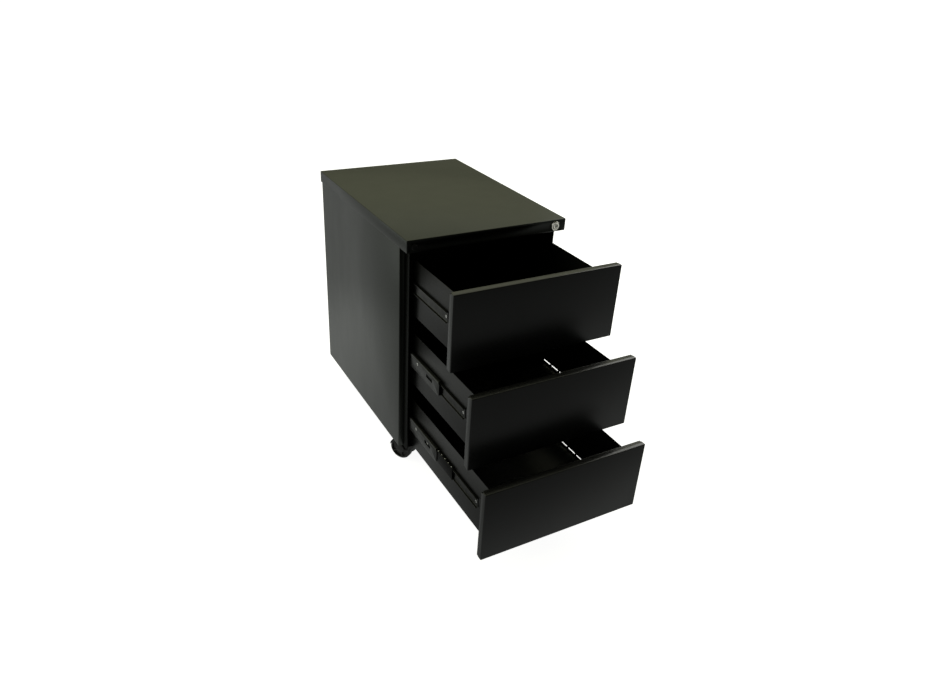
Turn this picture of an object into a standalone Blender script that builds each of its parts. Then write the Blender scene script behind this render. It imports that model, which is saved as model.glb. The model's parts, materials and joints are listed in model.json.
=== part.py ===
"""Rolling pedestal cabinet: a folded steel carcass on four casters, with three drawers.

Lengths are metres. The design frame has X across the cabinet, Y from the closed drawer fronts
to the back, and Z up from the floor. An empty carries it, so that the finished model's origin
lies on the floor under the middle of its box. The drawers are modelled part open, which is the
zero of every joint, and each moving body hangs from an empty of its own.
"""
import math

import bmesh
import bpy
from mathutils import Matrix, Vector

# Overall size
WIDTH = 0.420
DEPTH = 0.570
HEIGHT = 0.640
GAP = 0.0003

# Carcass
CAP_HEIGHT = 0.030
CAP_SHEET = 0.0012
CAP_LIP = 0.015
CAP_BEND = 0.0018
BODY_SHEET = 0.0010
BODY_INSET = 0.003
BODY_FRONT = 0.020
BODY_BOTTOM = 0.062
PILLAR_WIDTH = 0.0154
PILLAR_DEPTH = 0.055
GRIP_WALL = 0.194
GRIP_BACK = 0.044
GRIP_RADIUS = 0.002
BASE_TOP = 0.0693
BASE_FLANGE = 0.0070
BACK_FLANGE = 0.015

# Drawers, from the top one down
DRAWERS = ("top", "middle", "bottom")
FRONT_HEIGHT = 0.1780
FRONT_PITCH = 0.186
FRONT_TOP_GAP = 0.004
FRONT_DEPTH = 0.018
FRONT_BEND = 0.0020
FRONT_LIP = 0.034
RELIEF = 0.003
RELIEF_DEPTH = 0.006
TRAY_HALF = 0.178
TRAY_HEIGHT = 0.1395
TRAY_BACK = 0.533
TRAY_RAISE = 0.015
TRAY_SHEET = 0.0008
SLOT_LENGTH = 0.028
SLOT_WIDTH = 0.0032
SLOT_PITCH = 0.03455
SLOT_START = 0.0238
SLOT_COUNT = 8
SLOT_RAISE = 0.0080

# How far each drawer stands open, how much of that is its middle rails' own travel, and where
# its ball cages lie behind the middle rails' front ends when the drawer is shut
OPEN = {"top": 0.2206, "middle": 0.3155, "bottom": 0.3930}
FIRST_STAGE = {"top": 0.0, "middle": 0.172, "bottom": 0.172}
CAGE_START = {"top": 0.1150, "middle": 0.0725, "bottom": 0.0355}

# Slides: three nested channels a side, given as the X of a flange's edge and of the outer face
RAIL_LENGTH = 0.500
RAIL_FRONT = 0.040
RAIL_SHEET = 0.0012
RAIL_BEND = 0.0022
SLIDE_RAISE = 0.00375
CABINET_RAIL = {"edge": 0.1805, "face": 0.1913, "half": 0.0240}
MIDDLE_RAIL = {"edge": 0.1808, "face": 0.1882, "half": 0.0186}
DRAWER_RAIL = {"edge": 0.1845, "face": 0.1783, "half": 0.0130}
DRAWER_RAIL_FRONT = 0.0765
BALL_CAGE = {"edge": 0.1812, "face": 0.1859, "half": 0.0163}
CAGE_SHEET = 0.0007
CAGE_LENGTH = 0.180
RAIL_NOSE = 0.006
RAIL_SLOT_START = 0.034
RAIL_SLOT_LENGTH = 0.031
RAIL_SLOT_HEIGHT = 0.009
RAIL_SLOT_RAISE = 0.003

# Lock: a cylinder in the cap's front edge turns a crank that drops a hooked bar
LOCK_X = 0.180
LOCK_BELOW_TOP = 0.0156
LOCK_FLANGE_RADIUS = 0.0115
LOCK_FLANGE_PROUD = 0.0025
LOCK_BARREL_RADIUS = 0.009
LOCK_BARREL_END = 0.025
CORE_RADIUS = 0.0065
CORE_PROUD = 0.0029
CORE_END = 0.027
KEYHOLE_WIDTH = 0.0014
KEYHOLE_HEIGHT = 0.0076
KEYHOLE_DEPTH = 0.008
CAM_THICK = 0.0025
CAM_RADIUS = 0.0065
CRANK_RADIUS = 0.0085
CRANK_ANGLE = math.radians(45)
PIN_RADIUS = 0.0015
PIN_END = 0.0495
BAR_INNER = 0.195
BAR_OUTER = 0.203
BAR_FRONT = 0.0465
BAR_THICK = 0.002
BAR_TAIL = 0.005
BAR_ARM_X = 0.183
BAR_ARM_HALF = 0.005
BAR_SLOT = (0.1842, 0.1904)
BAR_SLOT_HALF = 0.0018
HOOK_X = 0.1835
HOOK_RAISE = 0.039
HOOK_HEIGHT = 0.006
HOOK_WINDOW = 0.022
CATCH_X = 0.187
CATCH_FRONT = 0.0505
CATCH_DEPTH = 0.006
CATCH_RAISE = 0.028
CATCH_HEIGHT = 0.008
LIP_NOTCH = (0.190, 0.206)
PLUG_X = -0.191
PLUG_BELOW_TOP = 0.0165
PLUG_RADIUS = 0.0075
PLUG_STEM_RADIUS = 0.0055
PLUG_PROUD = 0.0015

# Casters: twin wheels that trail behind a kingpin
PIVOT_X = 0.1585
PIVOT_Y = {"front": 0.0657, "rear": 0.5043}
TRAIL_ANGLE = {"front": math.radians(32), "rear": math.radians(-50)}
TRAIL = 0.022
WHEEL_RADIUS = 0.030
WHEEL_WIDTH = 0.017
WHEEL_INNER = 0.008
WHEEL_STEPS = 24
WEB_HALF = 0.0075
WEB_RADIUS = 0.024
HOOD_RADIUS = 0.0317
HOOD_SHEET = 0.0011
HOOD_HALF = 0.0245
HOOD_START = math.radians(8)
HOOD_END = math.radians(186)
HOOD_STEPS = 10
TOWER_TOP = 0.0650
KINGPIN_RADIUS = 0.004
KINGPIN_BOTTOM = 0.047
KINGPIN_BORE = 0.0043
PLATE_SIZE = 0.044
PLATE_THICK = 0.0022
PLATE_BOSS = 0.010
AXLE_RADIUS = 0.003
AXLE_BORE = 0.0033
AXLE_HALF = 0.020

# Values that follow from the ones above
BODY_HALF = WIDTH / 2 - BODY_INSET
BODY_BACK = DEPTH - BODY_INSET
BODY_TOP = HEIGHT - CAP_HEIGHT - GAP
PILLAR_INNER = BODY_HALF - PILLAR_WIDTH
BASE_UNDERSIDE = BASE_TOP - BODY_SHEET
LOCK_Z = HEIGHT - LOCK_BELOW_TOP
PLUG_Z = HEIGHT - PLUG_BELOW_TOP
CRANK_RISE = CRANK_RADIUS * math.sin(CRANK_ANGLE)
ORIGIN_Y = (DEPTH - OPEN["bottom"]) / 2
FACING_FRONT = (math.pi / 2, 0, 0)
FACING_BACK = (-math.pi / 2, 0, 0)

# Finishes: colour, roughness, metallic
BLACK_STEEL = ((0.012, 0.013, 0.012), 0.45, 0.0)
SIDE_STEEL = ((0.030, 0.034, 0.032), 0.42, 0.0)
DARK_ZINC = ((0.060, 0.060, 0.060), 0.40, 0.9)
BRIGHT_STEEL = ((0.550, 0.550, 0.540), 0.30, 1.0)
CHROME = ((0.750, 0.740, 0.700), 0.12, 1.0)
BLACK_PLASTIC = ((0.010, 0.010, 0.010), 0.50, 0.0)


def clear_scene():
    for obj in list(bpy.data.objects):
        bpy.data.objects.remove(obj, do_unlink=True)


def make_collection(name):
    collection = bpy.data.collections.new(name)
    bpy.context.scene.collection.children.link(collection)
    return collection


def add_object(name, data, collection, parent, location=(0, 0, 0), rotation=(0, 0, 0)):
    obj = bpy.data.objects.new(name, data)
    collection.objects.link(obj)
    obj.parent = parent
    obj.location = location
    obj.rotation_euler = rotation
    return obj


def add_empty(name, parent, location=(0, 0, 0), rotation=(0, 0, 0)):
    return add_object(name, None, PARTS, parent, location, rotation)


def add_part(name, data, finish, parent, location=(0, 0, 0), rotation=(0, 0, 0)):
    """Add a sub-part with a material of its own."""
    obj = add_object(name, data, PARTS, parent, location, rotation)
    color, roughness, metallic = finish
    material = bpy.data.materials.new(name + "_finish")
    material.use_nodes = True
    shader = material.node_tree.nodes["Principled BSDF"]
    shader.inputs["Base Color"].default_value = (*color, 1.0)
    shader.inputs["Roughness"].default_value = roughness
    shader.inputs["Metallic"].default_value = metallic
    data.materials.append(material)
    return obj


def add_cutter(name, mesh, parent, location=(0, 0, 0), rotation=(0, 0, 0)):
    obj = add_object(name, mesh, CUTTERS, parent, location, rotation)
    obj.hide_render = True
    obj.display_type = "WIRE"
    return obj


def combine(obj, cutter, operation="DIFFERENCE"):
    modifier = obj.modifiers.new(cutter.name, "BOOLEAN")
    modifier.operation = operation
    modifier.solver = "EXACT"
    modifier.object = cutter


def add_bend(obj, radius, segments=2):
    """Round a folded sheet's edges."""
    modifier = obj.modifiers.new("bend", "BEVEL")
    modifier.width = radius
    modifier.segments = segments
    modifier.limit_method = "ANGLE"
    modifier.angle_limit = math.radians(40)


def add_thickness(obj, thickness):
    """Thicken a surface on the side away from its normals."""
    modifier = obj.modifiers.new("sheet", "SOLIDIFY")
    modifier.thickness = thickness
    modifier.offset = -1.0
    modifier.use_even_offset = True


def mesh_from(bm, name):
    mesh = bpy.data.meshes.new(name)
    bm.to_mesh(mesh)
    bm.free()
    return mesh


def add_box(bm, low, high):
    """Add a box between two corners."""
    middle = [(a + b) / 2 for a, b in zip(low, high)]
    size = [b - a for a, b in zip(low, high)]
    matrix = Matrix.Translation(middle) @ Matrix.Diagonal((*size, 1.0))
    bmesh.ops.create_cube(bm, size=1.0, matrix=matrix)


def box_mesh(name, *boxes):
    """A mesh of separate boxes, each a pair of corners."""
    bm = bmesh.new()
    for low, high in boxes:
        add_box(bm, low, high)
    return mesh_from(bm, name)


def pan_mesh(name, low, high, open_face, lip=0.0):
    """A box open on the side whose normal is given, with a lip round the opening."""
    bm = bmesh.new()
    add_box(bm, low, high)
    bm.normal_update()
    face = max(bm.faces, key=lambda f: f.normal.dot(Vector(open_face)))
    if lip:
        bmesh.ops.inset_region(bm, faces=[face], thickness=lip)
    bmesh.ops.delete(bm, geom=[face], context="FACES_ONLY")
    return mesh_from(bm, name)


def cylinder_mesh(name, radius, bottom, top, segments=24):
    """A cylinder along local Z between two heights."""
    bm = bmesh.new()
    matrix = Matrix.Translation((0, 0, (bottom + top) / 2))
    bmesh.ops.create_cone(bm, cap_ends=True, segments=segments, radius1=radius,
                          radius2=radius, depth=top - bottom, matrix=matrix)
    return mesh_from(bm, name)


def turned_mesh(name, profile, closed=False):
    """The line of a turned shape: (radius, height) points, down the outer side."""
    bm = bmesh.new()
    points = [bm.verts.new((radius, 0, height)) for radius, height in profile]
    for pair in zip(points, points[1:]):
        bm.edges.new(pair)
    if closed:
        bm.edges.new((points[-1], points[0]))
    return mesh_from(bm, name)


def add_turn(obj, steps):
    modifier = obj.modifiers.new("turn", "SCREW")
    modifier.steps = steps
    modifier.render_steps = steps
    modifier.use_merge_vertices = True
    modifier.merge_threshold = 0.00001
    modifier.use_smooth_shade = True


def rounded(points, radius, corners, steps=3):
    """An outline whose listed corners become arcs."""
    outline = []
    for index, point in enumerate(points):
        here = Vector(point)
        if index not in corners:
            outline.append(here)
            continue
        back = (Vector(points[index - 1]) - here).normalized()
        ahead = (Vector(points[index + 1]) - here).normalized()
        half_angle = back.angle(ahead) / 2
        reach = radius / math.tan(half_angle)
        center = here + (back + ahead).normalized() * radius / math.sin(half_angle)
        start = (here + back * reach - center).normalized()
        end = (here + ahead * reach - center).normalized()
        outline += [center + radius * start.slerp(end, step / steps) for step in range(steps + 1)]
    return outline


def folded_mesh(name, outline, length, side=1):
    """Sweep an outline along local Z, with its normals to the right of it.

    side -1 makes the mirror image in X.
    """
    points = [(side * x, y) for x, y in outline][::side]
    bm = bmesh.new()
    low = [bm.verts.new((x, y, 0)) for x, y in points]
    edges = [bm.edges.new(pair) for pair in zip(low, low[1:])]
    swept = bmesh.ops.extrude_edge_only(bm, edges=edges)["geom"]
    high = [item for item in swept if isinstance(item, bmesh.types.BMVert)]
    bmesh.ops.translate(bm, verts=high, vec=(0, 0, length))
    bm.normal_update()
    run = low[1].co - low[0].co
    if edges[0].link_faces[0].normal.dot(run.cross(Vector((0, 0, 1)))) < 0:
        bmesh.ops.reverse_faces(bm, faces=bm.faces[:])
    return mesh_from(bm, name)


def drawer_base(drawer):
    """Height of the underside of a drawer's front."""
    top = HEIGHT - CAP_HEIGHT - FRONT_TOP_GAP - DRAWERS.index(drawer) * FRONT_PITCH
    return top - FRONT_HEIGHT


def slide_height(drawer):
    return drawer_base(drawer) + TRAY_RAISE + TRAY_HEIGHT / 2 + SLIDE_RAISE


def build_cap(origin):
    half = WIDTH / 2
    cap = add_part("top_cap", pan_mesh("top_cap", (-half, 0, HEIGHT - CAP_HEIGHT),
                                       (half, DEPTH, HEIGHT), (0, 0, -1), CAP_LIP),
                   SIDE_STEEL, origin)
    add_bend(cap, CAP_BEND)
    add_thickness(cap, CAP_SHEET)
    lock_hole = cylinder_mesh("lock_hole", LOCK_BARREL_RADIUS + GAP, -0.005, 0.005)
    plug_hole = cylinder_mesh("plug_hole", PLUG_STEM_RADIUS + GAP, -0.005, 0.005)
    notch = box_mesh("bar_notch", ((LIP_NOTCH[0], BAR_FRONT - 0.004, BODY_TOP - 0.002),
                                   (LIP_NOTCH[1], BAR_FRONT + 0.006, BODY_TOP + 0.004)))
    combine(cap, add_cutter("lock_hole", lock_hole, origin, (LOCK_X, 0, LOCK_Z), FACING_FRONT))
    combine(cap, add_cutter("plug_hole", plug_hole, origin, (PLUG_X, 0, PLUG_Z), FACING_FRONT))
    combine(cap, add_cutter("bar_notch", notch, origin))


def build_side_panels(origin):
    """Each side is one sheet, folded round a pillar at the front and at the back.

    The front pillar steps in behind the drawer fronts, so that fingers can grip their edges.
    """
    outline = rounded([(PILLAR_INNER, BODY_FRONT + PILLAR_DEPTH), (PILLAR_INNER, BODY_FRONT),
                       (GRIP_WALL, BODY_FRONT), (GRIP_WALL, GRIP_BACK), (BODY_HALF, GRIP_BACK),
                       (BODY_HALF, BODY_BACK), (PILLAR_INNER, BODY_BACK),
                       (PILLAR_INNER, BODY_BACK - PILLAR_DEPTH)],
                      GRIP_RADIUS, corners=(4,), steps=4)
    for name, side in (("left", -1), ("right", 1)):
        mesh = folded_mesh(name + "_side_panel", outline, BODY_TOP - BODY_BOTTOM, side)
        panel = add_part(name + "_side_panel", mesh, SIDE_STEEL, origin, (0, 0, BODY_BOTTOM))
        add_thickness(panel, BODY_SHEET)
        if side > 0:
            combine(panel, add_cutter("hook_windows", hook_window_mesh(), origin))


def hook_window_mesh():
    """Windows in the right pillar for the lock bar's hooks."""
    boxes = []
    for drawer in DRAWERS:
        bottom = slide_height(drawer) + HOOK_RAISE - 2 * CRANK_RISE - 0.002
        boxes.append(((PILLAR_INNER - 0.003, BAR_FRONT - 0.003, bottom),
                      (PILLAR_INNER + 0.003, BAR_FRONT + 0.005, bottom + HOOK_WINDOW)))
    return box_mesh("hook_windows", *boxes)


def build_back_and_base(origin):
    face = PILLAR_INNER - GAP
    outline = [(face, BODY_BACK - BACK_FLANGE), (face, BODY_BACK),
               (-face, BODY_BACK), (-face, BODY_BACK - BACK_FLANGE)]
    mesh = folded_mesh("back_panel", outline, BODY_TOP - BODY_BOTTOM)
    back = add_part("back_panel", mesh, SIDE_STEEL, origin, (0, 0, BODY_BOTTOM))
    add_thickness(back, BODY_SHEET)

    half = BODY_HALF - BODY_SHEET - GAP
    rear = BODY_BACK - BODY_SHEET - GAP
    mesh = pan_mesh("base_pan", (-half, BODY_FRONT + GAP, BASE_TOP - BASE_FLANGE),
                    (half, rear, BASE_TOP), (0, 0, -1))
    base = add_part("base_pan", mesh, BLACK_STEEL, origin)
    add_thickness(base, BODY_SHEET)
    notches = []
    for side in (-1, 1):
        for low, high in ((0, PILLAR_DEPTH + GAP), (BODY_BACK - BODY_FRONT - PILLAR_DEPTH - GAP,
                                                    BODY_BACK)):
            x_edges = sorted((side * (face - BODY_SHEET - GAP), side * WIDTH))
            notches.append(((x_edges[0], BODY_FRONT + low, 0.0),
                            (x_edges[1], BODY_FRONT + high, BASE_TOP + 0.01)))
    combine(base, add_cutter("pillar_notches", box_mesh("pillar_notches", *notches), origin))


def channel_mesh(name, channel, length, sheet_side, side):
    """A slide member: a channel along local Z, with rounded bends."""
    edge, face, half = channel["edge"], channel["face"], channel["half"]
    corners = [(edge, -half), (face, -half), (face, half), (edge, half)][::sheet_side]
    return folded_mesh(name, rounded(corners, RAIL_BEND, corners=(1, 2), steps=2), length, side)


def add_channel(name, channel, length, sheet, finish, parent, front, side, sheet_side=1):
    mesh = channel_mesh(name, channel, length, sheet_side, side)
    rail = add_part(name, mesh, finish, parent, (0, front, 0), FACING_BACK)
    add_thickness(rail, sheet)
    return rail


def build_cabinet_rails(origin):
    for drawer in DRAWERS:
        height = add_empty("slide_line_" + drawer, origin, (0, 0, slide_height(drawer)))
        for name, side in (("left", -1), ("right", 1)):
            add_channel(f"cabinet_rail_{drawer}_{name}", CABINET_RAIL, RAIL_LENGTH, RAIL_SHEET,
                        DARK_ZINC, height, RAIL_FRONT, side)


def middle_rail_cuts():
    """The slot in a middle rail's web and the chamfers at its front end."""
    bm = bmesh.new()
    slot_front = RAIL_FRONT + RAIL_SLOT_START
    slot_low = RAIL_SLOT_RAISE - RAIL_SLOT_HEIGHT / 2
    face = MIDDLE_RAIL["face"]
    half = MIDDLE_RAIL["half"]
    for side in (-1, 1):
        add_box(bm, (side * face - 0.004, slot_front, slot_low),
                (side * face + 0.004, slot_front + RAIL_SLOT_LENGTH, slot_low + RAIL_SLOT_HEIGHT))
    for level in (-half, half):
        matrix = (Matrix.Translation((0, RAIL_FRONT, level))
                  @ Matrix.Rotation(math.radians(45), 4, "X")
                  @ Matrix.Diagonal((WIDTH, RAIL_NOSE * math.sqrt(2), RAIL_NOSE * math.sqrt(2), 1)))
        bmesh.ops.create_cube(bm, size=1.0, matrix=matrix)
    return mesh_from(bm, "middle_rail_cuts")


def build_drawer(drawer, origin):
    """A drawer with its slides: the middle rails ride on the cabinet, the drawer on them."""
    first = FIRST_STAGE[drawer]
    second = OPEN[drawer] - first
    middle = add_empty("first_stage_" + drawer, origin, (0, -first, slide_height(drawer)))
    carrier = add_empty("second_stage_" + drawer, middle, (0, -second, 0))
    cages = add_empty("cage_stage_" + drawer, middle, (0, -second / 2, 0))
    rail_cuts = add_cutter("middle_rail_cuts_" + drawer, middle_rail_cuts(), middle)
    for name, side in (("left", -1), ("right", 1)):
        rail = add_channel(f"middle_rail_{drawer}_{name}", MIDDLE_RAIL, RAIL_LENGTH, RAIL_SHEET,
                           DARK_ZINC, middle, RAIL_FRONT, side)
        combine(rail, rail_cuts)
        add_channel(f"drawer_rail_{drawer}_{name}", DRAWER_RAIL,
                    RAIL_FRONT + RAIL_LENGTH - DRAWER_RAIL_FRONT, RAIL_SHEET,
                    DARK_ZINC, carrier, DRAWER_RAIL_FRONT, side, sheet_side=-1)
        add_channel(f"ball_cage_{drawer}_{name}", BALL_CAGE, CAGE_LENGTH, CAGE_SHEET,
                    BRIGHT_STEEL, cages, RAIL_FRONT + CAGE_START[drawer], side)
    build_tray(drawer, carrier)
    build_front(drawer, carrier)


def build_tray(drawer, carrier):
    """An open pan with a row of slots along the foot of its right wall and a lock catch."""
    bottom = -SLIDE_RAISE - TRAY_HEIGHT / 2
    name = "drawer_tray_" + drawer
    mesh = pan_mesh(name, (-TRAY_HALF, FRONT_DEPTH + GAP, bottom),
                    (TRAY_HALF, TRAY_BACK, bottom + TRAY_HEIGHT), (0, 0, 1))
    tray = add_part(name, mesh, BLACK_STEEL, carrier)
    add_thickness(tray, TRAY_SHEET)
    slots = []
    slot_low = bottom + SLOT_RAISE
    for index in range(SLOT_COUNT):
        start = SLOT_START + index * SLOT_PITCH
        slots.append(((TRAY_HALF - 0.004, start, slot_low),
                      (TRAY_HALF + 0.004, start + SLOT_LENGTH, slot_low + SLOT_WIDTH)))
    combine(tray, add_cutter("tray_slots_" + drawer, box_mesh("tray_slots", *slots), carrier))
    catch = box_mesh("lock_catch", ((TRAY_HALF - TRAY_SHEET / 2, CATCH_FRONT, CATCH_RAISE),
                                    (CATCH_X, CATCH_FRONT + CATCH_DEPTH,
                                     CATCH_RAISE + CATCH_HEIGHT)))
    combine(tray, add_cutter("lock_catch_" + drawer, catch, carrier), "UNION")


def build_front(drawer, carrier):
    """A front is a shallow pan: folded edges, a lip at the back and open corner reliefs."""
    half = WIDTH / 2
    bottom = drawer_base(drawer) - slide_height(drawer)
    top = bottom + FRONT_HEIGHT
    name = "drawer_front_" + drawer
    mesh = pan_mesh(name, (-half, 0, bottom), (half, FRONT_DEPTH, top), (0, 1, 0), FRONT_LIP)
    front = add_part(name, mesh, BLACK_STEEL, carrier)
    add_bend(front, FRONT_BEND)
    add_thickness(front, BODY_SHEET)
    reliefs = []
    for side in (-1, 1):
        for level, into in ((bottom, 1), (top, -1)):
            corner_x = sorted((side * (half + RELIEF), side * (half - RELIEF)))
            corner_z = sorted((level - into * RELIEF, level + into * RELIEF))
            reliefs.append(((corner_x[0], FRONT_DEPTH - RELIEF_DEPTH, corner_z[0]),
                            (corner_x[1], FRONT_DEPTH + RELIEF, corner_z[1])))
    cutter = add_cutter("corner_reliefs_" + drawer, box_mesh("corner_reliefs", *reliefs), carrier)
    combine(front, cutter)


def build_lock(origin):
    """The housing and core turn about an axis that runs front to back."""
    place = (LOCK_X, 0, LOCK_Z)
    bore = CORE_RADIUS + GAP
    flange = LOCK_FLANGE_PROUD
    profile = [(bore, flange), (LOCK_FLANGE_RADIUS - 0.0012, flange),
               (LOCK_FLANGE_RADIUS, flange - 0.0012), (LOCK_FLANGE_RADIUS, GAP),
               (LOCK_BARREL_RADIUS, GAP), (LOCK_BARREL_RADIUS, -LOCK_BARREL_END),
               (bore, -LOCK_BARREL_END)]
    housing = add_part("lock_housing", turned_mesh("lock_housing", profile, closed=True),
                       CHROME, origin, place, FACING_FRONT)
    add_turn(housing, 32)

    plug_profile = [(0, PLUG_PROUD), (PLUG_RADIUS - 0.001, PLUG_PROUD),
                    (PLUG_RADIUS, PLUG_PROUD - 0.0008), (PLUG_RADIUS, GAP),
                    (PLUG_STEM_RADIUS, GAP), (PLUG_STEM_RADIUS, -0.008), (0, -0.008)]
    plug = add_part("blind_plug", turned_mesh("blind_plug", plug_profile), BLACK_PLASTIC,
                    origin, (PLUG_X, 0, PLUG_Z), FACING_FRONT)
    add_turn(plug, 24)

    axis = add_empty("lock_axis", origin, place)
    core_profile = [(0, CORE_PROUD), (CORE_RADIUS - 0.0006, CORE_PROUD),
                    (CORE_RADIUS, CORE_PROUD - 0.0006), (CORE_RADIUS, -CORE_END),
                    (0, -CORE_END)]
    core = add_part("lock_core", turned_mesh("lock_core", core_profile), CHROME, axis,
                    rotation=FACING_FRONT)
    add_turn(core, 28)
    keyhole = box_mesh("keyhole", ((-KEYHOLE_WIDTH / 2, -0.01, -KEYHOLE_HEIGHT / 2),
                                   (KEYHOLE_WIDTH / 2, KEYHOLE_DEPTH, KEYHOLE_HEIGHT / 2)))
    combine(core, add_cutter("keyhole", keyhole, axis))

    cam_front = CORE_END + GAP
    cam_back = cam_front + CAM_THICK
    mesh = cylinder_mesh("lock_cam", CAM_RADIUS, -cam_back, -cam_front)
    cam = add_part("lock_cam", mesh, DARK_ZINC, axis, rotation=FACING_FRONT)
    crank = add_empty("crank", axis, rotation=(0, -CRANK_ANGLE, 0))
    arm = box_mesh("crank_arm", ((0, cam_front, -0.0025),
                                 (CRANK_RADIUS + 0.0025, cam_back, 0.0025)))
    combine(cam, add_cutter("crank_arm", arm, crank), "UNION")
    pin = cylinder_mesh("crank_pin", PIN_RADIUS, -PIN_END, -(cam_front + cam_back) / 2, 16)
    combine(cam, add_cutter("crank_pin", pin, crank, (CRANK_RADIUS, 0, 0), FACING_FRONT), "UNION")


def build_lock_bar(origin):
    """A flat comb: a strip in the right pillar, a slotted arm for the crank and three hooks."""
    pin_z = LOCK_Z + CRANK_RISE
    bar_bottom = slide_height(DRAWERS[-1]) + HOOK_RAISE - BAR_TAIL
    outline = [(BAR_OUTER, bar_bottom), (BAR_OUTER, pin_z + BAR_ARM_HALF),
               (BAR_ARM_X, pin_z + BAR_ARM_HALF), (BAR_ARM_X, pin_z - BAR_ARM_HALF),
               (BAR_INNER, pin_z - BAR_ARM_HALF)]
    for drawer in DRAWERS:
        hook = slide_height(drawer) + HOOK_RAISE
        outline += [(BAR_INNER, hook + HOOK_HEIGHT), (HOOK_X, hook + HOOK_HEIGHT),
                    (HOOK_X, hook), (BAR_INNER, hook)]
    outline.append((BAR_INNER, bar_bottom))
    slot = [(x, pin_z + rise) for x, rise in ((BAR_SLOT[0], -BAR_SLOT_HALF),
                                              (BAR_SLOT[1], -BAR_SLOT_HALF),
                                              (BAR_SLOT[1], BAR_SLOT_HALF),
                                              (BAR_SLOT[0], BAR_SLOT_HALF))]
    curve = bpy.data.curves.new("lock_bar", "CURVE")
    curve.dimensions = "2D"
    curve.fill_mode = "BOTH"
    curve.extrude = BAR_THICK / 2
    for points in (outline, slot):
        spline = curve.splines.new("POLY")
        spline.points.add(len(points) - 1)
        spline.use_cyclic_u = True
        for point, (x, z) in zip(spline.points, points):
            point.co = (x - BAR_INNER, z - LOCK_Z, 0, 1)
    add_part("lock_bar", curve, DARK_ZINC, origin,
             (BAR_INNER, BAR_FRONT + BAR_THICK / 2, LOCK_Z), FACING_FRONT)


def wheel_profile():
    """(radius, height) round half of a wheel, from the outer face to the face by the web."""
    outer = WHEEL_INNER + WHEEL_WIDTH
    tread = WHEEL_RADIUS
    bore_end = AXLE_HALF + GAP
    return [(0, outer - 0.001), (0.009, outer - 0.001), (0.011, outer - 0.0035),
            (0.022, outer - 0.0035), (0.0245, outer - 0.0006), (tread - 0.003, outer - 0.0006),
            (tread - 0.0008, outer - 0.0025), (tread, outer - 0.006),
            (tread, WHEEL_INNER + 0.002), (tread - 0.0012, WHEEL_INNER),
            (AXLE_BORE, WHEEL_INNER), (AXLE_BORE, bore_end), (0, bore_end)]


def hood_mesh(name):
    """An arc of sheet over both wheels, about local Y."""
    points = []
    for step in range(HOOD_STEPS + 1):
        angle = HOOD_START + (HOOD_END - HOOD_START) * step / HOOD_STEPS
        points.append((HOOD_RADIUS * math.cos(angle), HOOD_RADIUS * math.sin(angle)))
    return folded_mesh(name, points, 2 * HOOD_HALF)


def build_caster(place, side_name, origin):
    """A plate with its kingpin stays put; the housing swivels and the two wheels turn on it."""
    side = -1 if side_name == "left" else 1
    name = f"{place}_{side_name}"
    spot = add_empty("caster_spot_" + name, origin, (side * PIVOT_X, PIVOT_Y[place], 0))
    plate_low = BASE_UNDERSIDE - GAP - PLATE_THICK
    half = PLATE_SIZE / 2
    plate = add_part("caster_plate_" + name,
                     box_mesh("caster_plate", ((-half, -half, plate_low),
                                               (half, half, plate_low + PLATE_THICK))),
                     DARK_ZINC, spot)
    boss = cylinder_mesh("plate_boss", PLATE_BOSS, TOWER_TOP + GAP, plate_low + 0.001)
    pin = cylinder_mesh("kingpin", KINGPIN_RADIUS, KINGPIN_BOTTOM, plate_low + 0.0005, 20)
    combine(plate, add_cutter("plate_boss_" + name, boss, spot), "UNION")
    combine(plate, add_cutter("kingpin_" + name, pin, spot), "UNION")

    # Local +X of the swivel points from the kingpin to the axle, and local Y runs along the axle.
    trail_turn = math.pi / 2 - side * TRAIL_ANGLE[place]
    swivel = add_empty("swivel_" + name, spot, rotation=(0, 0, trail_turn))
    axle_line = add_empty("axle_line_" + name, swivel, (TRAIL, 0, WHEEL_RADIUS))
    along_axle = FACING_FRONT
    housing = add_part("caster_housing_" + name, hood_mesh("caster_housing"), BLACK_PLASTIC,
                       axle_line, (0, HOOD_HALF, 0), along_axle)
    add_thickness(housing, HOOD_SHEET)
    web = cylinder_mesh("caster_web", WEB_RADIUS, -WEB_HALF, WEB_HALF)
    stalk = box_mesh("caster_stalk", ((-0.006, -WEB_HALF, 0),
                                      (0.006, WEB_HALF, HOOD_RADIUS - HOOD_SHEET / 2)))
    tower = cylinder_mesh("caster_tower", WEB_HALF, WHEEL_RADIUS, TOWER_TOP, 20)
    king_bore = cylinder_mesh("kingpin_bore", KINGPIN_BORE, KINGPIN_BOTTOM - 0.001, 0.08, 20)
    axle_bore = cylinder_mesh("axle_bore", AXLE_BORE, -0.03, 0.03, 20)
    combine(housing, add_cutter("caster_web_" + name, web, axle_line, rotation=along_axle),
            "UNION")
    combine(housing, add_cutter("caster_stalk_" + name, stalk, axle_line), "UNION")
    combine(housing, add_cutter("caster_tower_" + name, tower, swivel), "UNION")
    combine(housing, add_cutter("kingpin_bore_" + name, king_bore, swivel))
    combine(housing, add_cutter("axle_bore_" + name, axle_bore, axle_line, rotation=along_axle))

    axle = cylinder_mesh("caster_axle", AXLE_RADIUS, -AXLE_HALF, AXLE_HALF, 20)
    add_part("caster_axle_" + name, axle, BRIGHT_STEEL, axle_line, rotation=along_axle)
    for wheel_side, turn in (("a", math.pi / 2), ("b", -math.pi / 2)):
        wheel = add_part(f"caster_wheel_{name}_{wheel_side}",
                         turned_mesh("caster_wheel", wheel_profile()), BLACK_PLASTIC,
                         axle_line, rotation=(turn, 0, 0))
        add_turn(wheel, WHEEL_STEPS)


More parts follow.
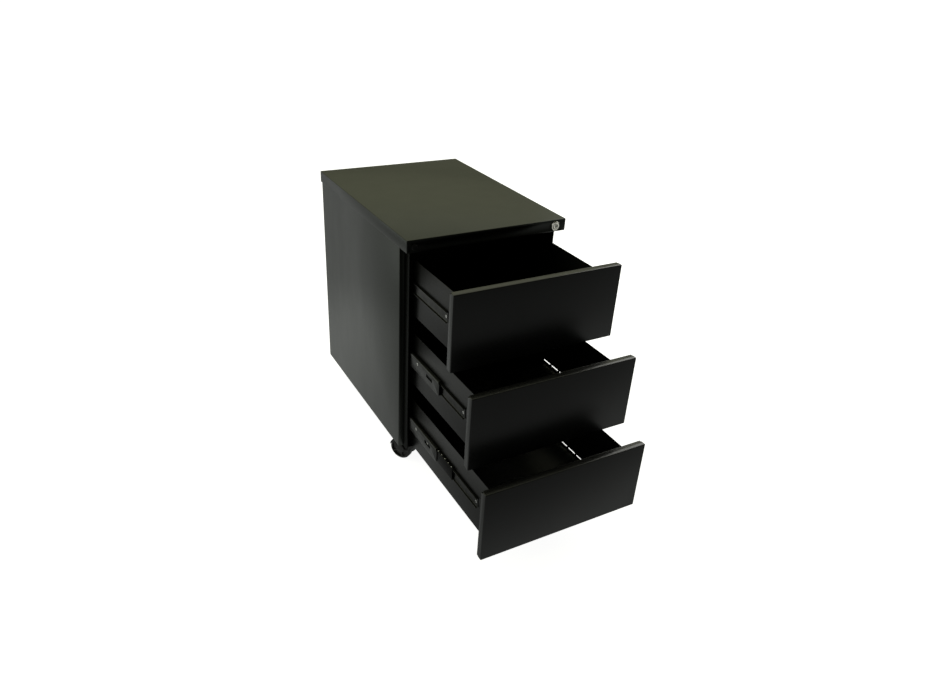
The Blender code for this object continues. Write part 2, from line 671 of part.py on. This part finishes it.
clear_scene()
PARTS = make_collection("rolling_pedestal_cabinet")
CUTTERS = make_collection("cutters")
ORIGIN = add_empty("pedestal_origin", None, (0, -ORIGIN_Y, 0))
build_cap(ORIGIN)
build_side_panels(ORIGIN)
build_back_and_base(ORIGIN)
build_lock(ORIGIN)
build_lock_bar(ORIGIN)
build_cabinet_rails(ORIGIN)
for drawer_name in DRAWERS:
    build_drawer(drawer_name, ORIGIN)
for caster_place in PIVOT_Y:
    for caster_side in ("left", "right"):
        build_caster(caster_place, caster_side, ORIGIN)
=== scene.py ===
import json
import math

import bmesh
import bpy
from mathutils import Euler, Matrix, Vector


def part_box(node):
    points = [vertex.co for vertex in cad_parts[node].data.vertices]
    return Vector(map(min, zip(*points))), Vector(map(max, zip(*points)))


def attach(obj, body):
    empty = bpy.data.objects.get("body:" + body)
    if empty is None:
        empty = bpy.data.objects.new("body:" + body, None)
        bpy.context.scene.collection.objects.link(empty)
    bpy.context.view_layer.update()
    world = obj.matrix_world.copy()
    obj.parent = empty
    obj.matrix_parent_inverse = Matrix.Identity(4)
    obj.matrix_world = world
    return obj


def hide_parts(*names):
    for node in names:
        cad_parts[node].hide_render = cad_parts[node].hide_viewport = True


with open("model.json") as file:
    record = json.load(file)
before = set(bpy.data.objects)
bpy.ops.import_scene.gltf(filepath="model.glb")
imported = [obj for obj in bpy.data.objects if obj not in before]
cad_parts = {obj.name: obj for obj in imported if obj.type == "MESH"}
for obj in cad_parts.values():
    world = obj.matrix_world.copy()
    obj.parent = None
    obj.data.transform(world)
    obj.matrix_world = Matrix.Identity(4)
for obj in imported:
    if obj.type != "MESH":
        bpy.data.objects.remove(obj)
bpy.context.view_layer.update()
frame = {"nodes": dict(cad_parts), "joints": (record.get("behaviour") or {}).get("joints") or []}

DRAWERS = ("top", "middle", "bottom")
SIDES = {"left": -1, "right": 1}
CASTERS = [f"{place}_{side}" for place in ("front", "rear") for side in SIDES]

# Camera: its place, its turns in degrees and its focal length in millimetres
CAMERA_PLACE = (-0.8362, -1.4480, 1.2143)
CAMERA_ANGLES = (60.709, -2.815, -28.508)
CAMERA_LENS = 28.357

# Sheet edges are broken by this much, and on thinner parts by less
EDGE_BREAK = 0.0003
FINE_BREAK = 0.0002
CAGE_BREAK = 0.00015
BREAK_ANGLE = math.radians(35)
WELD = 0.00001

# In the side panels' folds, this far in from their faces, the paint keeps this share of its gloss, a
# painted shade that darkens the recessed folds
FOLD_INSET = 0.0115
FOLD_PAINTED_SHADE_GLOSS = 0.14

# Slides. Fasteners are placed from the rails' front ends, the drawers' fronts and the cages' fronts.
RAIL_SHEET = 0.0012
BALL_RADIUS = 0.0022
BALL_STEPS = 16
BALL_RINGS = 10
BALL_FROM_CENTRE = 0.0151
BALL_INSET = 0.0014
BALLS_PER_ROW = 11
CAGE_RIVET_BACK = 0.128
CAGE_RIVET_RADIUS = 0.0036
CAGE_RIVET_RAISE = 0.003
RIVET_RADIUS = 0.0038
RIVET_PROUD = 0.0008
RIVETS_BEHIND_NOSE = (0.112, 0.300, 0.455)
RIVET_RAISE = 0.007
SCREW_RADIUS = 0.0036
SCREW_PROUD = 0.0013
SCREWS_BEHIND_FRONT = (0.083, 0.309, 0.490)

# Lock nut, inside the cap's front edge
NUT_ACROSS_FLATS = 0.0212
NUT_BORE = 0.0093
NUT_FRONT = 0.0015
NUT_THICK = 0.0035

# Caster plates and wheels
PLATE_THICK = 0.0022
PLATE_SCREW_OFFSET = 0.0165
PLATE_SCREW_RADIUS = 0.0038
PLATE_SCREW_PROUD = 0.0014
WHEEL_STEPS = 80
WHEEL_INNER = 0.008
WHEEL_OUTER = 0.025
WHEEL_BORE = 0.0033
WHEEL_BORE_END = 0.0203
WHEEL_RIBS = 5
RIB_HALF_ANGLE = math.radians(9)


# ---------------------------------------------------------------- materials

class Nodes:
    """A material's node tree, with short calls for its nodes and links."""

    def __init__(self, name):
        self.material = bpy.data.materials.new(name)
        self.material.use_nodes = True
        self.tree = self.material.node_tree
        self.shader = self.tree.nodes["Principled BSDF"]
        self.place = self.add("ShaderNodeTexCoord").outputs["Object"]

    def add(self, kind, **settings):
        node = self.tree.nodes.new(kind)
        for key, value in settings.items():
            setattr(node, key, value)
        return node

    def feed(self, socket, value):
        if isinstance(value, bpy.types.NodeSocket):
            self.tree.links.new(value, socket)
        else:
            socket.default_value = value

    def noise(self, grain, detail=3.0, stretch=(1, 1, 1)):
        """Noise whose features are about a grain, in metres, across."""
        mapping = self.add("ShaderNodeMapping")
        self.feed(mapping.inputs["Vector"], self.place)
        mapping.inputs["Scale"].default_value = stretch
        node = self.add("ShaderNodeTexNoise")
        self.feed(node.inputs["Vector"], mapping.outputs["Vector"])
        node.inputs["Scale"].default_value = 1 / grain
        node.inputs["Detail"].default_value = detail
        return node.outputs["Fac"]

    def spread(self, value, low, high, start=0.3, end=0.7):
        """Map a value from start..end to low..high."""
        node = self.add("ShaderNodeMapRange")
        self.feed(node.inputs["Value"], value)
        for key, number in (("From Min", start), ("From Max", end), ("To Min", low), ("To Max", high)):
            node.inputs[key].default_value = number
        return node.outputs["Result"]

    def times(self, a, b):
        node = self.add("ShaderNodeMath", operation="MULTIPLY")
        self.feed(node.inputs[0], a)
        self.feed(node.inputs[1], b)
        return node.outputs["Value"]

    def within(self, axis, limit):
        """1 nearer than limit to the middle on one of the part's own axes, 0 beyond it."""
        parts = self.add("ShaderNodeSeparateXYZ")
        self.feed(parts.inputs["Vector"], self.place)
        distance = self.add("ShaderNodeMath", operation="ABSOLUTE")
        self.feed(distance.inputs[0], parts.outputs[axis])
        return self.spread(distance.outputs["Value"], 1, 0, limit - 0.0003, limit)

    def mix(self, factor, a, b):
        node = self.add("ShaderNodeMix", data_type="RGBA")
        self.feed(node.inputs["Factor"], factor)
        self.feed(node.inputs[6], a)
        self.feed(node.inputs[7], b)
        return node.outputs[2]

    def edges(self, radius):
        """1 along convex and concave edges, 0 on flat faces."""
        bevel = self.add("ShaderNodeBevel", samples=4)
        bevel.inputs["Radius"].default_value = radius
        geometry = self.add("ShaderNodeNewGeometry")
        dot = self.add("ShaderNodeVectorMath", operation="DOT_PRODUCT")
        self.feed(dot.inputs[0], bevel.outputs["Normal"])
        self.feed(dot.inputs[1], geometry.outputs["Normal"])
        return self.spread(dot.outputs["Value"], 1.0, 0.0, 0.80, 0.99)

    def bump(self, *layers):
        """Stack bumps, each a (height, depth in metres, strength)."""
        normal = None
        for height, depth, strength in layers:
            node = self.add("ShaderNodeBump")
            self.feed(node.inputs["Height"], height)
            node.inputs["Distance"].default_value = depth
            node.inputs["Strength"].default_value = strength
            if normal:
                self.feed(node.inputs["Normal"], normal)
            normal = node.outputs["Normal"]
        self.feed(self.shader.inputs["Normal"], normal)

    def finish(self, color, roughness, metallic=0.0, specular=0.5):
        self.feed(self.shader.inputs["Base Color"], color)
        self.feed(self.shader.inputs["Roughness"], roughness)
        self.shader.inputs["Metallic"].default_value = metallic
        self.feed(self.shader.inputs["Specular IOR Level"], specular)
        return self.material


def rgba(color, gain=1.0):
    return (*(min(1.0, channel * gain) for channel in color), 1.0)


def powder_coat(name, color, roughness, specular, sheen=(1, 1, 1), wear=0.25, folds=None):
    """Baked powder paint: fine grain over a slow ripple, a little polished on its edges.

    Where folds is given, the gloss is cut nearer than that to the part's middle on X, a painted shade
    that darkens the recessed folds.
    """
    n = Nodes(name)
    if folds:
        # Painted shade: less gloss, so a darker look, inside the recessed folds
        specular = n.spread(n.within("X", folds), specular, specular * FOLD_PAINTED_SHADE_GLOSS, 0, 1)
    clouds = n.noise(0.16, 2.0)
    mottle = n.noise(0.012, 4.0)
    grain = n.noise(0.00045, 2.0)
    ripple = n.noise(0.0016, 1.0)
    scuffs = n.noise(0.05, 6.0, (1, 1, 0.3))
    base = n.mix(n.spread(clouds, 0, 1), rgba(color, 0.86), rgba(color, 1.14))
    speckled = n.mix(n.times(n.spread(grain, 0, 1), 0.30), base, rgba(color, 1.8))
    rubbed = n.times(n.edges(0.0009), n.times(n.spread(mottle, 0, 1), wear))
    painted = n.mix(rubbed, speckled, rgba((0.16, 0.16, 0.155)))
    gloss = n.spread(scuffs, roughness - 0.015, roughness + 0.02)
    n.bump((ripple, 0.00010, 0.35), (grain, 0.00005, 0.35))
    n.shader.inputs["Specular Tint"].default_value = rgba(sheen)
    return n.finish(painted, gloss, specular=specular)


def zinc(name, color, roughness, along=(1, 0.04, 1), wear=0.5):
    """Plated strip steel, drawn lengthways, with bright rubbed edges."""
    n = Nodes(name)
    streaks = n.noise(0.0011, 3.0, along)
    cloud = n.noise(0.018, 4.0)
    base = n.mix(n.spread(cloud, 0, 1), rgba(color, 0.75), rgba(color, 1.25))
    streaked = n.mix(n.times(n.spread(streaks, 0, 1), 0.4), base, rgba(color, 1.7))
    rubbed = n.times(n.edges(0.0006), n.times(n.spread(n.noise(0.004), 0, 1), wear))
    plated = n.mix(rubbed, streaked, rgba((0.45, 0.45, 0.44)))
    gloss = n.spread(streaks, roughness - 0.07, roughness + 0.09)
    n.bump((streaks, 0.00003, 0.4))
    return n.finish(plated, gloss, metallic=0.85)


def bright_metal(name, color, roughness):
    """Polished or bright plated steel with faint hairlines and smudges."""
    n = Nodes(name)
    lines = n.noise(0.0006, 2.0, (1, 1, 0.1))
    smudge = n.noise(0.006, 4.0)
    base = n.mix(n.spread(smudge, 0, 1), rgba(color, 0.88), rgba(color, 1.06))
    dark_seams = n.mix(n.times(n.edges(0.0005), 0.25), base, rgba(color, 0.35))
    gloss = n.spread(smudge, roughness * 0.6, roughness * 1.5)
    n.bump((lines, 0.00002, 0.25))
    return n.finish(dark_seams, gloss, metallic=1.0)


def moulded_plastic(name, color, roughness, grain_size, dust=0.25):
    """Moulded nylon: fine spark texture, dusty in patches and shiny where it has rubbed."""
    n = Nodes(name)
    spark = n.noise(grain_size, 3.0)
    cloud = n.noise(0.02, 4.0)
    base = n.mix(n.spread(cloud, 0, 1), rgba(color, 0.8), rgba(color, 1.3))
    dusty = n.mix(n.times(n.spread(n.noise(0.006, 5.0), 0, 1, 0.45, 0.8), dust), base,
                  rgba((0.07, 0.068, 0.062)))
    rubbed = n.mix(n.times(n.edges(0.0007), 0.35), dusty, rgba((0.05, 0.05, 0.05)))
    gloss = n.spread(cloud, roughness - 0.06, roughness + 0.10)
    n.bump((spark, 0.00006, 0.5))
    return n.finish(rubbed, gloss, specular=0.4)


BODY_COAT = ((0.0040, 0.0042, 0.0036), 0.32, 0.48, (0.93, 1.0, 0.90))
BODY_PAINT = powder_coat("body_paint", *BODY_COAT)
# The side panels' paint carries a painted shade in its recessed folds
SIDE_PAINT = powder_coat("side_paint", *BODY_COAT,
                         folds=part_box("right_side_panel")[1].x - FOLD_INSET)
FRONT_PAINT = powder_coat("front_paint", (0.0045, 0.0045, 0.0043), 0.36, 0.62)
TRAY_PAINT = powder_coat("tray_paint", (0.0045, 0.0045, 0.0044), 0.36, 0.32, wear=0.30)
BASE_PAINT = powder_coat("base_paint", (0.0050, 0.0050, 0.0048), 0.42, 0.40)
DARK_ZINC = zinc("dark_zinc", (0.055, 0.055, 0.054), 0.34, wear=0.25)
CAGE_STEEL = zinc("cage_steel", (0.012, 0.012, 0.012), 0.52, wear=0.10)
BAR_ZINC = zinc("bar_zinc", (0.11, 0.11, 0.105), 0.40, (1, 1, 0.05))
BRIGHT_STEEL = bright_metal("bright_steel", (0.62, 0.62, 0.60), 0.25)
CHROME = bright_metal("chrome", (0.78, 0.77, 0.68), 0.20)
BLACK_PLASTIC = moulded_plastic("black_plastic", (0.010, 0.010, 0.010), 0.45, 0.0005)
WHEEL_PLASTIC = moulded_plastic("wheel_plastic", (0.013, 0.013, 0.013), 0.40, 0.0008, dust=0.4)


# ---------------------------------------------------------------- pieces

def break_edges(obj, width):
    """Join split corners, then round the edges a little so that they catch the light."""
    weld = obj.modifiers.new("weld", "WELD")
    weld.merge_threshold = WELD
    bevel = obj.modifiers.new("edge_break", "BEVEL")
    bevel.width = width
    bevel.segments = 2
    bevel.limit_method = "ANGLE"
    bevel.angle_limit = BREAK_ANGLE
    bevel.harden_normals = True
    for polygon in obj.data.polygons:
        polygon.use_smooth = True


def finish_node(name, material, width=EDGE_BREAK):
    """Give a CAD node its material and broken edges."""
    obj = frame["nodes"][name]
    obj.data.materials.clear()
    obj.data.materials.append(material)
    break_edges(obj, width)


def add_piece(name, mesh, material, body, replaced=(), smooth_angle=35):
    """A new piece that moves with a body; it may stand in for CAD nodes."""
    obj = bpy.data.objects.new(name, mesh)
    bpy.context.scene.collection.objects.link(obj)
    mesh.materials.append(material)
    for polygon in mesh.polygons:
        polygon.use_smooth = True
    mesh.set_sharp_from_angle(angle=math.radians(smooth_angle))
    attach(obj, body)
    if replaced:
        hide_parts(*replaced)
    return obj


def lathe(name, rings, steps, closed=False):
    """A turned solid along local Z. A ring's radius or height may be a function of the angle."""
    bm = bmesh.new()
    loops = []
    for radius, height in rings:
        if radius == 0:
            loops.append([bm.verts.new((0, 0, height))] * steps)
            continue
        loop = []
        for step in range(steps):
            angle = math.tau * step / steps
            reach = radius(angle) if callable(radius) else radius
            rise = height(angle) if callable(height) else height
            loop.append(bm.verts.new((reach * math.cos(angle), reach * math.sin(angle), rise)))
        loops.append(loop)
    pairs = list(zip(loops, loops[1:]))
    if closed:
        pairs.append((loops[-1], loops[0]))
    for near, far in pairs:
        for step in range(steps):
            after = (step + 1) % steps
            corners = dict.fromkeys((near[step], near[after], far[after], far[step]))
            bm.faces.new(list(corners))
    bmesh.ops.recalc_face_normals(bm, faces=bm.faces)
    mesh = bpy.data.meshes.new(name)
    bm.to_mesh(mesh)
    bm.free()
    return mesh


def copies(name, shape, places):
    """One mesh with a copy of a shape at each place."""
    bm = bmesh.new()
    for place in places:
        copy = shape.copy()
        copy.transform(place)
        bm.from_mesh(copy)
        bpy.data.meshes.remove(copy)
    mesh = bpy.data.meshes.new(name)
    bm.to_mesh(mesh)
    bm.free()
    return mesh


def facing(point, direction):
    """A placement at a point, with the shape's local Z along a direction."""
    turn = Vector(direction).to_track_quat("Z", "Y").to_matrix().to_4x4()
    return Matrix.Translation(point) @ turn


def cross_recess(arm, half_width):
    """The outline of a screwdriver cross, as a radius for each angle."""
    def radius(angle):
        long_side = max(abs(math.cos(angle)), abs(math.sin(angle)))
        short_side = max(min(abs(math.cos(angle)), abs(math.sin(angle))), 1e-6)
        return min(arm / long_side, half_width / short_side)
    return radius


def screw_head(radius, proud):
    """A pan head with a cross recess, on a local plane at height 0."""
    arm = cross_recess(radius * 0.55, radius * 0.14)
    rings = [(0, proud * 0.35), (arm, proud * 0.35), (arm, proud), (radius * 0.72, proud * 0.97),
             (radius * 0.93, proud * 0.72), (radius, proud * 0.30), (radius, -proud * 0.4),
             (0, -proud * 0.4)]
    return lathe("screw_head", rings, 40)


def rivet_head(radius, proud):
    """A flat-set tubular rivet: a low rim round a shallow pit."""
    rings = [(0, proud * 0.30), (radius * 0.42, proud * 0.30), (radius * 0.52, proud),
             (radius * 0.75, proud), (radius * 0.95, proud * 0.55), (radius, 0),
             (radius, -proud * 0.4), (0, -proud * 0.4)]
    return lathe("rivet_head", rings, 28)


def ball_mesh():
    """A ball, turned like the rivets so that its faces come in the same order each run."""
    angles = [math.pi * ring / BALL_RINGS for ring in range(1, BALL_RINGS)]
    rings = [(BALL_RADIUS * math.sin(angle), BALL_RADIUS * math.cos(angle)) for angle in angles]
    return lathe("ball", [(0, BALL_RADIUS), *rings, (0, -BALL_RADIUS)], BALL_STEPS)


def add_rail_details():
    """Rivets on the middle rails, screws in the drawer rails, and the cages' rivets and balls."""
    rivet = rivet_head(RIVET_RADIUS, RIVET_PROUD)
    screw = screw_head(SCREW_RADIUS, SCREW_PROUD)
    cage_rivet = rivet_head(CAGE_RIVET_RADIUS, RIVET_PROUD)
    ball = ball_mesh()
    for drawer in DRAWERS:
        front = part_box(f"drawer_front_{drawer}")[0].y
        for name, side in SIDES.items():
            end = f"{drawer}_{name}"
            outward = (side, 0, 0)
            low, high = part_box(f"middle_rail_{end}")
            center_z = (low.z + high.z) / 2
            rail_face = low.x if side < 0 else high.x
            places = [facing((rail_face, low.y + back, center_z + RIVET_RAISE), outward)
                      for back in RIVETS_BEHIND_NOSE]
            add_piece(f"rail_rivets_{end}", copies("rail_rivets", rivet, places), BRIGHT_STEEL,
                      f"middle_rails_{drawer}")

            low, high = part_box(f"drawer_rail_{end}")
            web = (high.x if side < 0 else low.x) + side * RAIL_SHEET
            places = [facing((web, front + back, center_z), outward)
                      for back in SCREWS_BEHIND_FRONT]
            add_piece(f"rail_screws_{end}", copies("rail_screws", screw, places), BRIGHT_STEEL,
                      f"drawer_{drawer}")

            low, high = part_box(f"ball_cage_{end}")
            cage_face = low.x if side < 0 else high.x
            place = facing((cage_face, low.y + CAGE_RIVET_BACK, center_z + CAGE_RIVET_RAISE), outward)
            add_piece(f"cage_rivet_{end}", copies("cage_rivet", cage_rivet, [place]), BRIGHT_STEEL,
                      f"ball_cages_{drawer}")
            column = (high.x if side < 0 else low.x) + side * BALL_INSET
            pitch = (high.y - low.y) / BALLS_PER_ROW
            places = [Matrix.Translation((column, low.y + pitch * (index + 0.5),
                                          center_z + row * BALL_FROM_CENTRE))
                      for row in (-1, 1) for index in range(BALLS_PER_ROW)]
            add_piece(f"slide_balls_{end}", copies("slide_balls", ball, places), BRIGHT_STEEL,
                      f"ball_cages_{drawer}")


def add_lock_nut():
    """The hexagon nut that holds the lock housing in the cap."""
    low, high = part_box("lock_housing")
    center = (low + high) / 2
    cap_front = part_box("top_cap")[0].y

    def hexagon(angle):
        return NUT_ACROSS_FLATS / 2 / math.cos((angle % math.radians(60)) - math.radians(30))

    rings = [(NUT_BORE, 0), (NUT_BORE, NUT_THICK), (hexagon, NUT_THICK), (hexagon, 0)]
    mesh = lathe("lock_nut", rings, 48, closed=True)
    mesh.transform(facing((center.x, cap_front + NUT_FRONT, center.z), (0, 1, 0)))
    add_piece("lock_nut", mesh, BRIGHT_STEEL, "cabinet", smooth_angle=20)


def add_plate_screws():
    """Four screws up through each caster's plate."""
    screw = screw_head(PLATE_SCREW_RADIUS, PLATE_SCREW_PROUD)
    for caster in CASTERS:
        low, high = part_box(f"caster_plate_{caster}")
        center = (low + high) / 2
        underside = high.z - PLATE_THICK
        places = [facing((center.x + x * PLATE_SCREW_OFFSET, center.y + y * PLATE_SCREW_OFFSET,
                          underside), (0, 0, -1)) for x in (-1, 1) for y in (-1, 1)]
        add_piece(f"plate_screws_{caster}", copies("plate_screws", screw, places), BRIGHT_STEEL,
                  "cabinet")


def rib_height(floor, top):
    """The height of a wheel's recessed disc, raised where a rib crosses it."""
    def height(angle):
        spacing = math.tau / WHEEL_RIBS
        from_rib = abs((angle + spacing / 2) % spacing - spacing / 2)
        return top if from_rib < RIB_HALF_ANGLE else floor
    return height


def wheel_mesh(radius, inner, outer, bore, bore_end):
    """One wheel of a twin pair: tread, ribbed disc and hub, along local Z from its inner side out."""
    disc = rib_height(outer - 0.0045, outer - 0.0014)
    rings = [(0, bore_end), (bore, bore_end), (bore, inner), (radius * 0.90, inner),
             (radius - 0.0012, inner + 0.0002), (radius - 0.0003, inner + 0.0010),
             (radius, inner + 0.0024), (radius, outer - 0.0060), (radius - 0.0003, outer - 0.0036),
             (radius - 0.0012, outer - 0.0018), (radius - 0.0026, outer - 0.0009),
             (radius * 0.87, outer - 0.0006), (radius * 0.81, outer - 0.0006),
             (radius * 0.785, outer - 0.0012), (radius * 0.77, disc), (radius * 0.42, disc),
             (radius * 0.40, outer - 0.0012), (radius * 0.37, outer - 0.0007),
             (radius * 0.20, outer - 0.0004), (0, outer - 0.0003)]
    return lathe("wheel", rings, WHEEL_STEPS)


def add_wheels():
    """Finer wheels in place of the CAD ones."""
    for joint in frame["joints"]:
        if not joint["name"].startswith("roll_"):
            continue
        name = joint["name"].removeprefix("roll_")
        node = f"caster_wheel_{name}"
        low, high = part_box(node)
        hub = Vector(joint["pos_m"])
        axis = Vector(joint["axis"]).normalized()
        center = (low + high) / 2
        if (center - hub).dot(axis) < 0:
            axis = -axis
        radius = (high.z - low.z) / 2
        mesh = wheel_mesh(radius, WHEEL_INNER, WHEEL_OUTER, WHEEL_BORE, WHEEL_BORE_END)
        mesh.transform(facing(hub, axis))
        add_piece(f"wheel_{name}", mesh, WHEEL_PLASTIC, joint["child"], (node,),
                  smooth_angle=30)


def finish_nodes():
    """Give each CAD node its material."""
    for name in ("top_cap", "back_panel"):
        finish_node(name, BODY_PAINT)
    for side in SIDES:
        finish_node(f"{side}_side_panel", SIDE_PAINT)
    finish_node("base_pan", BASE_PAINT)
    for drawer in DRAWERS:
        finish_node(f"drawer_front_{drawer}", FRONT_PAINT)
        finish_node(f"drawer_tray_{drawer}", TRAY_PAINT, FINE_BREAK)
        for side in SIDES:
            for rail in ("cabinet_rail", "middle_rail", "drawer_rail"):
                finish_node(f"{rail}_{drawer}_{side}", DARK_ZINC, FINE_BREAK)
            finish_node(f"ball_cage_{drawer}_{side}", CAGE_STEEL, CAGE_BREAK)
    for name in ("lock_housing", "lock_core"):
        finish_node(name, CHROME, FINE_BREAK)
    for name in ("lock_cam", "lock_bar"):
        finish_node(name, BAR_ZINC)
    finish_node("blind_plug", BLACK_PLASTIC)
    for caster in CASTERS:
        finish_node(f"caster_plate_{caster}", DARK_ZINC)
        finish_node(f"caster_housing_{caster}", BLACK_PLASTIC)
        finish_node(f"caster_axle_{caster}", BRIGHT_STEEL)


# ---------------------------------------------------------------- studio

# Fades run along Y on the floor; in the sky they are parts of a direction. Tones are strengths.
FLOOR_SIZE = 60.0
FLOOR_COLOR = (0.88, 0.88, 0.88)
FLOOR_GLOW = 0.93
FLOOR_TINT = (0.90, 0.93, 0.89)
FLOOR_FRONT_TONE = 0.15
FLOOR_BACK_TONE = 0.62
FLOOR_FADE = (-1.10, 1.00)
FLOOR_FAR_TONE = 0.68
FLOOR_FAR_FADE = (0.60, 1.20)
SKY_TINT = (0.97, 1.0, 0.67)
SKY_FRONT_TONE = 0.03
SKY_BACK_TONE = 0.42
SKY_FADE = (-0.50, 0.80)
SKY_LOW_TONE = 0.52
SKY_HIGH_TONE = 1.32
SKY_RISE = (0.10, 0.50)


def seen_by_camera(tree):
    """1 where the camera looks straight at the stage, 0 for its light and reflections."""
    return tree.nodes.new("ShaderNodeLightPath").outputs["Is Camera Ray"]


def fade(tree, place, span, start, end):
    """A smooth change from start to end across a span of places."""
    node = tree.nodes.new("ShaderNodeMapRange")
    node.interpolation_type = "SMOOTHSTEP"
    tree.links.new(place, node.inputs["Value"])
    limits = {"From Min": span[0], "From Max": span[1], "To Min": start, "To Max": end}
    for key, number in limits.items():
        node.inputs[key].default_value = number
    return node.outputs["Result"]


def product(tree, a, b):
    node = tree.nodes.new("ShaderNodeMath")
    node.operation = "MULTIPLY"
    tree.links.new(a, node.inputs[0])
    tree.links.new(b, node.inputs[1])
    return node.outputs["Value"]


def add_floor():
    """A pale floor; as light, dim in front of the cabinet and bright behind it."""
    mesh = bpy.data.meshes.new("floor")
    bm = bmesh.new()
    bmesh.ops.create_grid(bm, x_segments=1, y_segments=1, size=FLOOR_SIZE / 2)
    bm.to_mesh(mesh)
    bm.free()
    floor = bpy.data.objects.new("floor", mesh)
    bpy.context.scene.collection.objects.link(floor)
    material = bpy.data.materials.new("floor_paper")
    material.use_nodes = True
    tree = material.node_tree
    tree.nodes.clear()
    nodes = tree.nodes
    output = nodes.new("ShaderNodeOutputMaterial")
    choice = nodes.new("ShaderNodeMixShader")
    shown = nodes.new("ShaderNodeAddShader")
    paper = nodes.new("ShaderNodeBsdfDiffuse")
    paper.inputs["Color"].default_value = rgba(FLOOR_COLOR)
    glow = nodes.new("ShaderNodeEmission")
    glow.inputs["Strength"].default_value = FLOOR_GLOW
    bounce = nodes.new("ShaderNodeEmission")
    bounce.inputs["Color"].default_value = rgba(FLOOR_TINT)
    place = nodes.new("ShaderNodeTexCoord")
    split = nodes.new("ShaderNodeSeparateXYZ")
    links = tree.links
    links.new(place.outputs["Object"], split.inputs["Vector"])
    near = fade(tree, split.outputs["Y"], FLOOR_FADE, FLOOR_FRONT_TONE, FLOOR_BACK_TONE)
    far = fade(tree, split.outputs["Y"], FLOOR_FAR_FADE, 1.0, FLOOR_FAR_TONE)
    links.new(product(tree, near, far), bounce.inputs["Strength"])
    links.new(paper.outputs["BSDF"], shown.inputs[0])
    links.new(glow.outputs["Emission"], shown.inputs[1])
    links.new(seen_by_camera(tree), choice.inputs["Fac"])
    links.new(bounce.outputs["Emission"], choice.inputs[1])
    links.new(shown.outputs["Shader"], choice.inputs[2])
    links.new(choice.outputs["Shader"], output.inputs["Surface"])
    mesh.materials.append(material)


def add_world():
    """White behind the object; as light, brighter towards the back and overhead."""
    world = bpy.data.worlds.new("studio")
    world.use_nodes = True
    tree = world.node_tree
    tree.nodes.clear()
    nodes = tree.nodes
    links = tree.links
    output = nodes.new("ShaderNodeOutputWorld")
    choice = nodes.new("ShaderNodeMixShader")
    white = nodes.new("ShaderNodeBackground")
    white.inputs["Color"].default_value = (1, 1, 1, 1)
    light = nodes.new("ShaderNodeBackground")
    light.inputs["Color"].default_value = rgba(SKY_TINT)
    place = nodes.new("ShaderNodeTexCoord")
    split = nodes.new("ShaderNodeSeparateXYZ")
    links.new(place.outputs["Generated"], split.inputs["Vector"])
    back = fade(tree, split.outputs["Y"], SKY_FADE, SKY_FRONT_TONE, SKY_BACK_TONE)
    high = fade(tree, split.outputs["Z"], SKY_RISE, SKY_LOW_TONE, SKY_HIGH_TONE)
    links.new(product(tree, back, high), light.inputs["Strength"])
    links.new(seen_by_camera(tree), choice.inputs["Fac"])
    links.new(light.outputs["Background"], choice.inputs[1])
    links.new(white.outputs["Background"], choice.inputs[2])
    links.new(choice.outputs["Shader"], output.inputs["Surface"])
    bpy.context.scene.world = world


def add_softbox(name, place, target, size, power, color=(1, 1, 1), only=()):
    """A rectangular light; with only, it lights just those objects."""
    light = bpy.data.lights.new(name, "AREA")
    light.shape = "RECTANGLE"
    light.size, light.size_y = size
    light.energy = power
    light.color = color
    lamp = bpy.data.objects.new(name, light)
    bpy.context.scene.collection.objects.link(lamp)
    lamp.location = place
    lamp.rotation_euler = (Vector(target) - Vector(place)).to_track_quat("-Z", "Y").to_euler()
    lamp.visible_camera = False
    if only:
        receivers = bpy.data.collections.new(name + "_receivers")
        for obj in only:
            receivers.objects.link(obj)
        lamp.light_linking.receiver_collection = receivers


def add_camera():
    """The camera, at the photograph's viewing angle."""
    camera = bpy.data.cameras.new("camera")
    camera.lens = CAMERA_LENS
    holder = bpy.data.objects.new("camera", camera)
    bpy.context.scene.collection.objects.link(holder)
    holder.location = CAMERA_PLACE
    holder.rotation_euler = Euler([math.radians(angle) for angle in CAMERA_ANGLES])
    bpy.context.scene.camera = holder


finish_nodes()
add_rail_details()
add_lock_nut()
add_plate_screws()
add_wheels()

add_camera()
add_floor()
add_world()
add_softbox("left_softbox", (-2.6, 1.6, 1.0), (0, 0.1, 0.35), (2.4, 2.0), 10, (0.95, 1.0, 0.94))
add_softbox("top_softbox", (0.4, 1.2, 2.8), (0, 0.1, 0.5), (2.6, 2.6), 6, (1.0, 0.99, 0.90))
add_softbox("right_softbox", (2.6, 0.6, 1.3), (0, 0.1, 0.35), (1.8, 2.0), 25)
LOCK = [frame["nodes"][name] for name in ("lock_housing", "lock_core")]
LOCK_SPOT = sum(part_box("lock_housing"), Vector()) / 2
add_softbox("lock_low_card", LOCK_SPOT + Vector((0.40, -0.68, -0.44)), LOCK_SPOT, (0.5, 0.5), 0.35,
            only=LOCK)
add_softbox("lock_left_card", LOCK_SPOT + Vector((-0.6, -0.5, 0.5)), LOCK_SPOT, (0.8, 0.8), 1.2,
            only=LOCK)
bpy.context.scene.view_settings.view_transform = "Standard"
